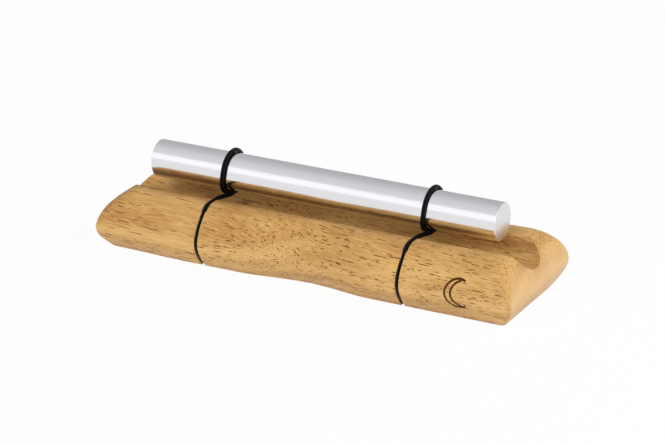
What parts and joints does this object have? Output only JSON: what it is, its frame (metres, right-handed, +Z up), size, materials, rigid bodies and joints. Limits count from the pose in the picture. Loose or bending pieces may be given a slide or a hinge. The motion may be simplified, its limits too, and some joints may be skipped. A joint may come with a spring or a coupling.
{
  "type": "energy chime",
  "caption": "Hand-struck tone chime: a polished metal bar slung in elastic cords over a waisted hardwood block with a round resonance trough.",
  "frame": {"origin": "on the floor under the middle of the block", "axes": "+X along the bar to the right end in the picture, -Y towards the front, +Z up"},
  "size_m": [0.2254, 0.0684, 0.0525],
  "materials": {
    "block_wood": "golden tan hardwood, sanded smooth with a thin satin oil, dark pore flecks along the grain",
    "bar_metal": "polished bar with fine turning marks on the end faces",
    "elastic_cord": "black braided elastic cord with a slight sheen"
  },
  "bodies": {
    "block": {"resonator_block": "block_wood", "left_front_run": "elastic_cord", "left_rear_run": "elastic_cord", "right_front_run": "elastic_cord", "right_rear_run": "elastic_cord", "left_front_strand": "elastic_cord", "left_rear_strand": "elastic_cord", "right_front_strand": "elastic_cord", "right_rear_strand": "elastic_cord"},
    "sling": {"left_bar_loop": "elastic_cord", "right_bar_loop": "elastic_cord"},
    "bar": {"chime_bar": "bar_metal"}
  },
  "joints": [
    {"name": "bounce", "type": "slide", "parent": "block", "child": "sling", "axis": [0, 0, 1], "range_m": [-0.0075, 0.006], "stiffness_N_per_m": 1000, "springref_m": 0.00141, "deforming": ["left_front_strand", "left_rear_strand", "right_front_strand", "right_rear_strand"]},
    {"name": "roll", "type": "hinge", "parent": "sling", "child": "bar", "pos_m": [-0.0014, 0, 0.04065], "axis": [1, 0, 0], "continuous": true}
  ]
}
